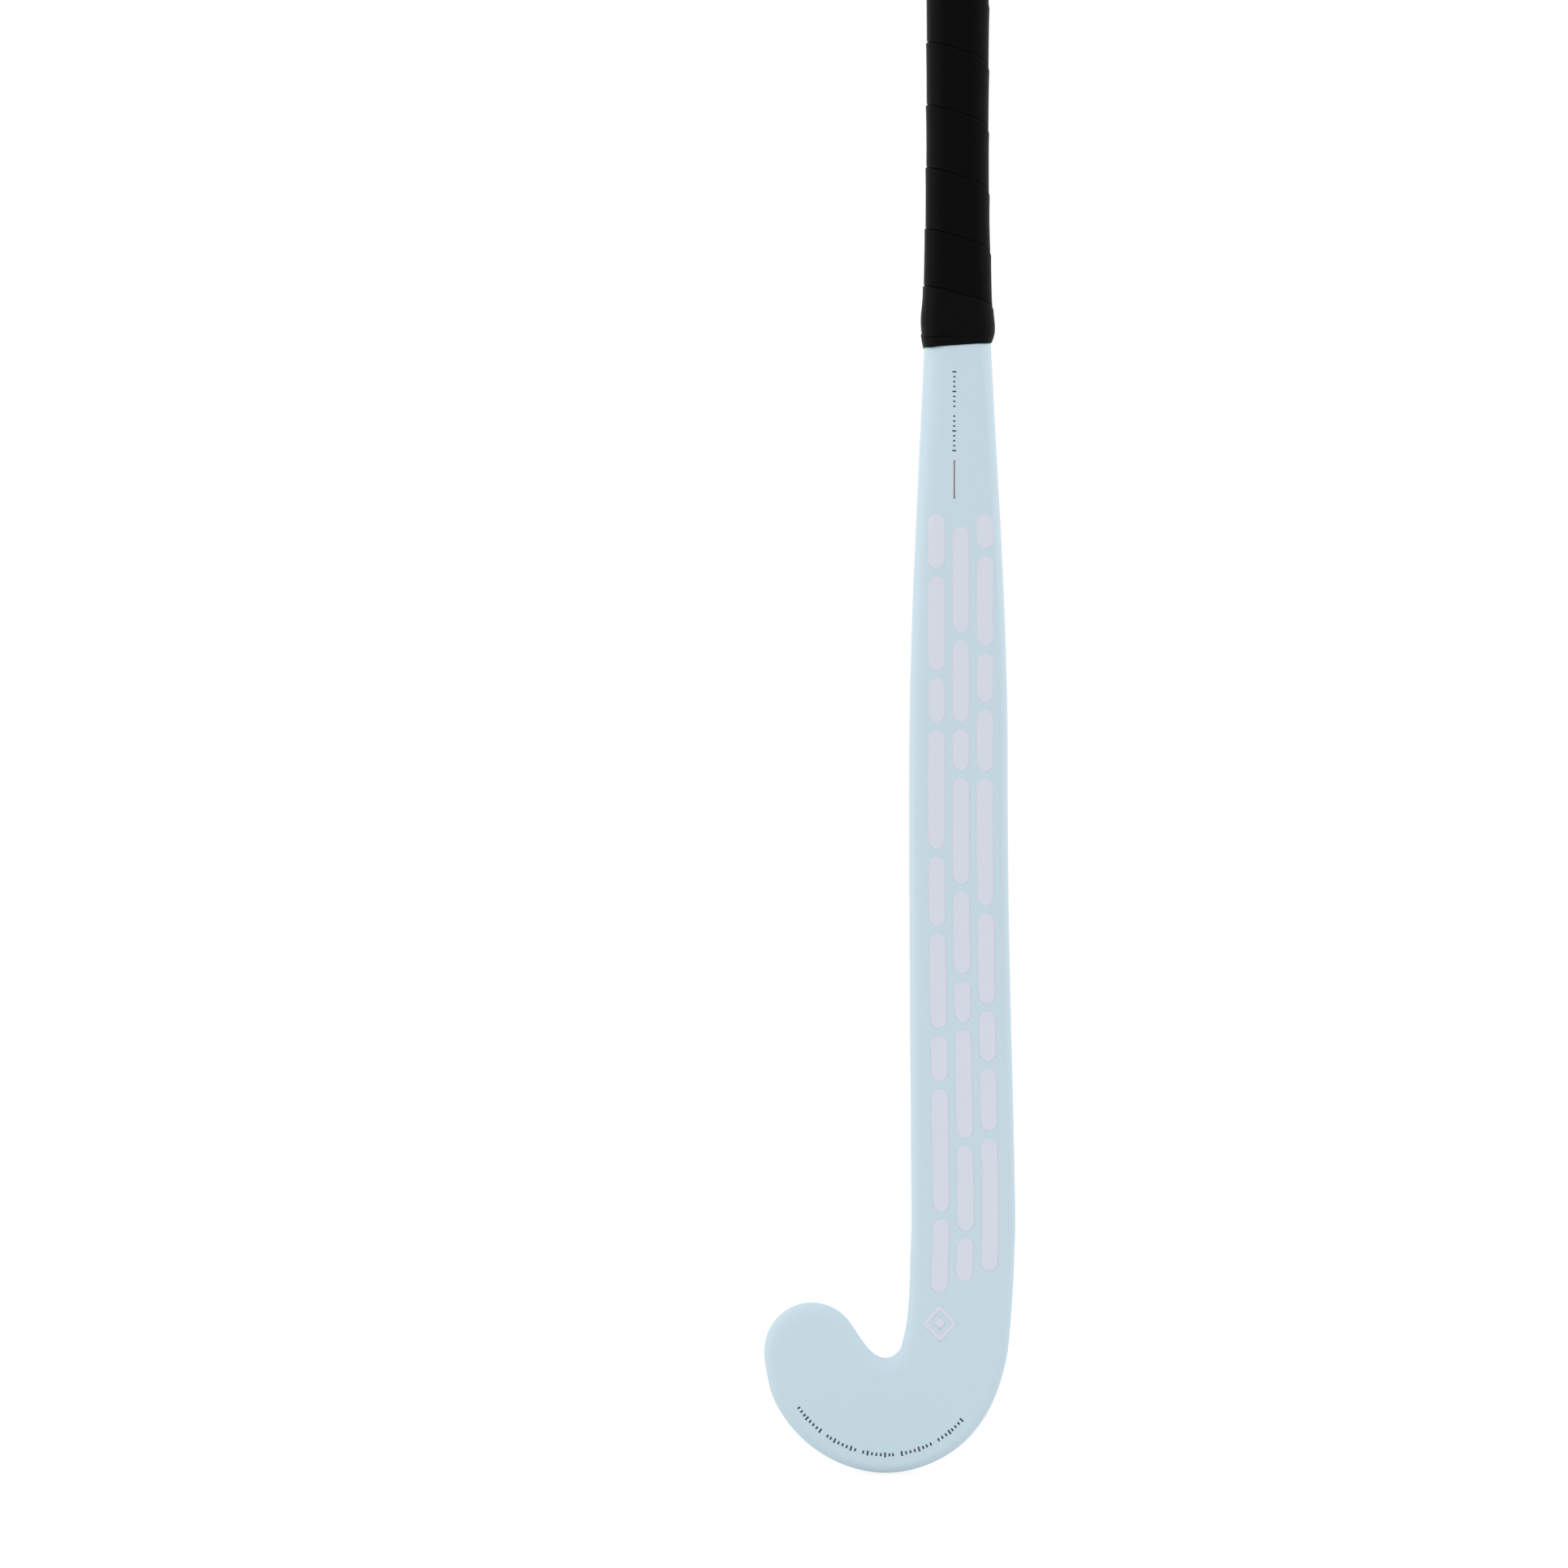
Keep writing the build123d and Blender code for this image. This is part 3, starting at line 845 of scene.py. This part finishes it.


# ---- printed decoration, with painted highlights beside the pinstripes ----

# Heights of the prints, in mm above the lowest point of the head.
FACE_LINE, BACK_LINES = (466.4, 485.0), ((330.4, 469.6), (60.9, 225.1))
FACE_BARS = (83, 459)
FACE_MARKS, BACK_MARKS, TOP_MARKS = (489.4, 532.4), (284.2, 327.7), (477.1, 530.5)
CHEVRON_MIDDLE, HEAD_MARKS_TOP, DIAMOND_HEIGHT = 255.0, 33, 69.8

FACE_LINE_X, FACE_MARKS_X, DIAMOND_X = mm(-2.0, -2.1, -9.6)  # below 0 on the toe side
SHINE_WIDTH = 0.7  # of the painted highlight, a pale line beside a pinstripe, as a share of the pinstripe's width
BAR_COLUMNS = ((-1, (34, 58, 22, 46)), (0, (52, 20, 40)), (1, (24, 44, 62, 30)))  # lengths in mm
SHORTEST_BAR, BAR_STAGGER, FIRST_BAR = mm(9, 5, 6)  # the stagger is from column to column
DIAMOND_RADIUS = 8.5 * MM
DIAMOND_HOLE, DIAMOND_CORE = 0.68, 0.36  # as shares of its radius
CHEVRONS, CHEVRON_PITCH, CHEVRON_DROP = 3, 13 * MM, 7 * MM

GROUP, LONG_EVERY = 9, 4  # every ninth tick is left out, and every fourth is longer
FINE_TICKS = mm(2.4, 1.9, 1.1, 0.7)  # pitch, long and short tick, thickness
BROAD_TICKS = mm(3.0, 3.8, 2.6, 1.5)
HEAD_INSET, HEAD_PITCH = mm(8.5, 2.4)
HEAD_WIDTH, HEAD_LONG, HEAD_SHORT = mm(0.4, 1.1, 0.7)  # halves of a tick's width and length
HEAD_MARKS_X = 1 * MM  # the marks start this far on the heel side of the axis

RAY_START = 200 * MM
LIFT, INK = mm(0.04, 0.02)  # a film's height off the shell, and its thickness to one side
NEAR = mm(-9, -6, -3, 0, 3, 6, 9)  # heights over which the stick's middle is evened out
BEHIND_FACE, INSIDE_HEEL = mm(8, 5)  # depths at which the stick's width is felt for
BAR_STEP = 4 * MM
BAR_TIP = 0.05 * MM  # half the width left at the end of a round bar
JOIN = 0.001 * MM  # points of a film closer than this are one


class Print:
    """Thin films of ink laid on the face or on the back of the shell."""

    def __init__(self, back=False):
        self.surface = surface_of(bpy.data.objects[SHELL])
        self.way = Vector((0.0, -1.0 if back else 1.0, 0.0))

    def point(self, x, z):
        """The point of the surface behind a place, lifted clear of it."""
        start = Vector((x, 0.0, z)) - self.way * RAY_START
        hit, normal = self.surface.ray_cast(start, self.way)[:2]
        if hit is None:
            raise RuntimeError(f"nothing to print on at x {x:.4f}, z {z:.4f}")
        return hit + normal * LIFT

    def middle(self, z):
        """The middle of the stick's width about a height, evened out over the facets near it."""
        return sum(self.middle_at(z + away) for away in NEAR) / len(NEAR)

    def middle_at(self, z):
        """The middle of the stick's width at one height, clear of the toe."""
        towards_back, towards_toe = Vector((0.0, 1.0, 0.0)), Vector((-1.0, 0.0, 0.0))
        y = self.surface.ray_cast(Vector((0.0, -RAY_START, z)), towards_back)[0].y + BEHIND_FACE
        heel = self.surface.ray_cast(Vector((RAY_START, y, z)), towards_toe)[0].x
        toe = self.surface.ray_cast(Vector((heel - INSIDE_HEEL, y, z)), towards_toe)[0].x
        return (heel + toe) / 2

    def bar(self, x, low, high, width, round_ends=True, columns=8):
        """A grid for an upright bar whose middle keeps to a line up the stick."""
        radius = width / 2 if round_ends else 0.0
        ends = [radius * (1 - math.cos(math.radians(angle))) for angle in range(0, 90, 15)]
        straight = high - low - 2 * radius
        count = max(round(straight / BAR_STEP), 1)
        heights = {low + radius + straight * i / count for i in range(count + 1)}
        heights |= {low + end for end in ends} | {high - end for end in ends}
        rows = []
        for z in sorted(heights):
            half = width / 2
            if round_ends:
                inset = max(radius - min(z - low, high - z), 0.0)
                half = math.sqrt(max(radius**2 - inset**2, BAR_TIP**2))
            places = [x(z) + half * (2 * i / columns - 1) for i in range(columns + 1)]
            rows.append([self.point(place, z) for place in places])
        return rows

    def patch(self, corners, count=4):
        """A grid over four corners, each a place across and a height, in order round it."""
        a, b, c, d = (Vector(corner) for corner in corners)
        rows = []
        for i in range(count + 1):
            left, right = a.lerp(d, i / count), b.lerp(c, i / count)
            rows.append([self.point(*left.lerp(right, j / count)) for j in range(count + 1)])
        return rows

    def ticks(self, x, low, high, pitch, long, short, thickness):
        """A ruled row of ticks up a line, in groups."""
        grids = []
        for i in range(int((high - low) / pitch) + 1):
            if i % GROUP < GROUP - 1:
                z = low + i * pitch
                middle, top = x(z), z + thickness
                half = (short if i % LONG_EVERY else long) / 2
                left, right = middle - half, middle + half
                grids.append(self.patch([(left, z), (right, z), (right, top), (left, top)], 2))
        return grids


def film(name, grids, ink_name, colour):
    """One film from its grids: printed ink, and also the painted highlights beside the pinstripes.
    """
    piece = mesh_piece(name, grids, screen_printed_ink(ink_name, colour))
    tidy_mesh(piece, JOIN)
    thicken(piece, INK)


class STICK_OT_pinstripes(bpy.types.Operator):
    """Prints the thin lines along the face and the back, each with a painted highlight beside it as
    a pale line
    """

    bl_idname = "stick.pinstripes"
    bl_label = "Pinstripes"

    def execute(self, context):
        settings = context.scene.stick_print
        face, back = Print(), Print(back=True)
        width = settings.line_width
        stripes = [(face, lambda z: FACE_LINE_X, FACE_LINE)]
        stripes += [(back, back.middle, ends) for ends in BACK_LINES]
        lines, shines = [], []
        for side, place, ends in stripes:
            low, high = map(above_head, ends)
            lines.append(side.bar(place, low, high, width, False, 1))
            # The pale strip beside each pinstripe is a painted highlight, laid as a film in the
            # lilac ink.
            beside = lambda z, place=place: place(z) + width
            shines.append(side.bar(beside, low, high, width * SHINE_WIDTH, False, 1))
        film("pinstripes", lines, "printed_line_ink", settings.line)
        film("pinstripe_shines", shines, "painted_highlight_ink", settings.lilac)
        return {"FINISHED"}


class STICK_OT_face_print(bpy.types.Operator):
    """Prints the pale bars and the diamond along the playing face"""

    bl_idname = "stick.face_print"
    bl_label = "Face print"

    def execute(self, context):
        settings = context.scene.stick_print
        face = Print()
        low, high = map(above_head, FACE_BARS)
        pitch, gap = settings.bar_pitch, settings.bar_gap
        grids = []
        for column, lengths in BAR_COLUMNS:
            place = lambda z, shift=column * pitch: face.middle(z) + shift
            z, i = low + FIRST_BAR + BAR_STAGGER * column, column + 1
            while z < high:
                length = min(lengths[i % len(lengths)] * MM, high - z)
                if length > SHORTEST_BAR:
                    grids.append(face.bar(place, z, z + length, pitch - gap))
                z += length + gap
                i += 1
        grids += self.diamond(face, Vector((DIAMOND_X, above_head(DIAMOND_HEIGHT))))
        film("face_print", grids, "printed_lilac_ink", settings.lilac)
        return {"FINISHED"}

    def diamond(self, face, centre):
        """A diamond's frame with a small diamond in it."""
        angles = (0.0, math.pi / 2, math.pi, -math.pi / 2)
        ways = [Vector((math.cos(a), math.sin(a))) * DIAMOND_RADIUS for a in angles]
        grids = []
        for way, turned in zip(ways, ways[1:] + ways[:1]):
            rim = [centre + way, centre + turned]
            hole = [centre + turned * DIAMOND_HOLE, centre + way * DIAMOND_HOLE]
            grids.append(face.patch(rim + hole))
        grids.append(face.patch([centre + way * DIAMOND_CORE for way in ways]))
        return grids


class STICK_OT_back_print(bpy.types.Operator):
    """Prints three pale chevrons on the back"""

    bl_idname = "stick.back_print"
    bl_label = "Back print"

    def execute(self, context):
        settings = context.scene.stick_print
        back = Print(back=True)
        drop = Vector((0.0, -CHEVRON_DROP))
        lowest = above_head(CHEVRON_MIDDLE) - CHEVRON_PITCH * (CHEVRONS - 1) / 2
        grids = []
        for i in range(CHEVRONS):
            peak = lowest + CHEVRON_PITCH * i + settings.chevron_rise / 2
            middle = Vector((back.middle(peak), peak))
            for side in (-1, 1):
                across = side * settings.chevron_width / 2
                wing = middle + Vector((across, -settings.chevron_rise))
                grids.append(back.patch([middle, wing, wing + drop, middle + drop], 8))
        film("back_print", grids, "printed_lilac_back_ink", settings.lilac)
        return {"FINISHED"}


class STICK_OT_small_marks(bpy.types.Operator):
    """Prints the rows of small dark ticks on the face, the back and the head"""

    bl_idname = "stick.small_marks"
    bl_label = "Small marks"

    def execute(self, context):
        settings = context.scene.stick_print
        face, back = Print(), Print(back=True)
        grids = face.ticks(lambda z: FACE_MARKS_X, *map(above_head, FACE_MARKS), *FINE_TICKS)
        grids += back.ticks(back.middle, *map(above_head, BACK_MARKS), *FINE_TICKS)
        grids += back.ticks(back.middle, *map(above_head, TOP_MARKS), *BROAD_TICKS)
        grids += self.round_the_head(ShellForm(context.scene.stick_shell), face)
        film("small_marks", grids, "printed_dark_ink", settings.dark)
        return {"FINISHED"}

    def round_the_head(self, form, face):
        """Ticks that follow the lower edge of the head from the heel to the toe."""
        edge = [point.xz for point, _ in form.edge()[: len(form.stations)]]
        top = above_head(HEAD_MARKS_TOP)
        grids, travelled, count = [], 0.0, 0
        for here, there in zip(edge, edge[1:]):
            step = (there - here).length
            along = (there - here) / step
            inward = Vector((along.y, -along.x))
            place = -travelled % HEAD_PITCH
            while place < step:
                middle = here + along * place + inward * HEAD_INSET
                if middle.y < top and middle.x < HEAD_MARKS_X:
                    if count % GROUP < GROUP - 1:
                        long = inward * (HEAD_SHORT if count % LONG_EVERY else HEAD_LONG)
                        wide = along * HEAD_WIDTH
                        near, far = middle - long, middle + long
                        corners = [near - wide, near + wide, far + wide, far - wide]
                        grids.append(face.patch(corners, 1))
                    count += 1
                place += HEAD_PITCH
            travelled += step
        return grids


# ---- stage ----

FLOOR_SIZE, FLOOR_GAP = 12.0, 0.2 * MM
LAMP_WIDTH, LAMP_HEIGHT = 0.4, 2.0
LAMPS = (  # name, place and power in watts
    ("softbox_toe_side", (-1.25, -0.35, 0.15), 4.8),
    ("softbox_heel_side", (1.25, -0.35, -0.2), 3.6),
    ("softbox_toe_side_back", (-1.25, 0.7, -0.2), 1.5),
    ("softbox_heel_side_back", (1.25, 0.7, -0.2), 1.5),
)


class STICK_OT_stage(bpy.types.Operator):
    """Builds the floor, the white surroundings, the lamps and the camera"""

    bl_idname = "stick.stage"
    bl_label = "Stage"

    def execute(self, context):
        scene, stage = context.scene, context.scene.stick_stage
        scene.view_settings.view_transform = "Standard"
        place = (0.0, 0.0, CAD_LOW.z - FLOOR_GAP)
        bpy.ops.mesh.primitive_plane_add(size=FLOOR_SIZE, location=place)
        floor = context.object
        floor.name = "floor"
        set_material(floor, matt_white_floor())
        scene.world = self.white_surroundings()
        for name, location, power in LAMPS:
            self.lamp(scene, name, location, power)
        lens = bpy.data.cameras.new("camera")
        lens.lens = stage.lens
        camera = bpy.data.objects.new("camera", lens)
        camera.location = (-stage.aside, -stage.distance, CAD_LOW.z + stage.rise)
        camera.rotation_euler = (math.pi / 2, stage.roll, 0.0)
        scene.collection.objects.link(camera)
        scene.camera = camera
        return {"FINISHED"}

    def white_surroundings(self):
        """White all round, which also lights the stick evenly."""
        world = bpy.data.worlds.new("studio")
        world.use_nodes = True
        tree = world.node_tree
        tree.nodes.clear()
        white = {"Color": (1.0, 1.0, 1.0, 1.0), "Strength": 1.0}
        background = add_node(tree, "ShaderNodeBackground", white)
        surface = background.outputs["Background"]
        add_node(tree, "ShaderNodeOutputWorld", links={"Surface": surface})
        return world

    def lamp(self, scene, name, location, power):
        """A tall soft area lamp that faces the handle's axis."""
        light = bpy.data.lights.new(name, "AREA")
        light.shape = "RECTANGLE"
        light.size, light.size_y = LAMP_WIDTH, LAMP_HEIGHT
        light.energy = power
        lamp = bpy.data.objects.new(name, light)
        lamp.location = location
        to_axis = Vector((-location[0], -location[1], 0.0))
        lamp.rotation_euler = to_axis.to_track_quat("-Z", "Y").to_euler()
        scene.collection.objects.link(lamp)


# ---- panel and registration ----


class STICK_PT_panel(bpy.types.Panel):
    """Lists the stick's operators in the sidebar"""

    bl_label = "Field Hockey Stick"
    bl_idname = "STICK_PT_panel"
    bl_space_type = "VIEW_3D"
    bl_region_type = "UI"
    bl_category = "Stick"

    def draw(self, context):
        for operator in OPERATORS:
            self.layout.operator(operator.bl_idname)


OPERATORS = (
    STICK_OT_shell,
    STICK_OT_inner_pieces,
    STICK_OT_grip_tape,
    STICK_OT_finishing_tape,
    STICK_OT_pinstripes,
    STICK_OT_face_print,
    STICK_OT_back_print,
    STICK_OT_small_marks,
    STICK_OT_stage,
)
SETTINGS = {
    "stick_shell": ShellSettings,
    "stick_print": PrintSettings,
    "stick_grip": GripSettings,
    "stick_stage": StageSettings,
}
CLASSES = (*SETTINGS.values(), *OPERATORS, STICK_PT_panel)


def register():
    for group in CLASSES:
        bpy.utils.register_class(group)
    for name, group in SETTINGS.items():
        setattr(bpy.types.Scene, name, PointerProperty(type=group))


def unregister():
    for name in SETTINGS:
        delattr(bpy.types.Scene, name)
    for group in reversed(CLASSES):
        bpy.utils.unregister_class(group)


def main():
    register()
    bpy.ops.stick.shell()
    bpy.ops.stick.inner_pieces()
    bpy.ops.stick.grip_tape()
    bpy.ops.stick.finishing_tape()
    bpy.ops.stick.pinstripes()
    bpy.ops.stick.face_print()
    bpy.ops.stick.back_print()
    bpy.ops.stick.small_marks()
    bpy.ops.stick.stage()


if __name__ == "__main__":
    main()
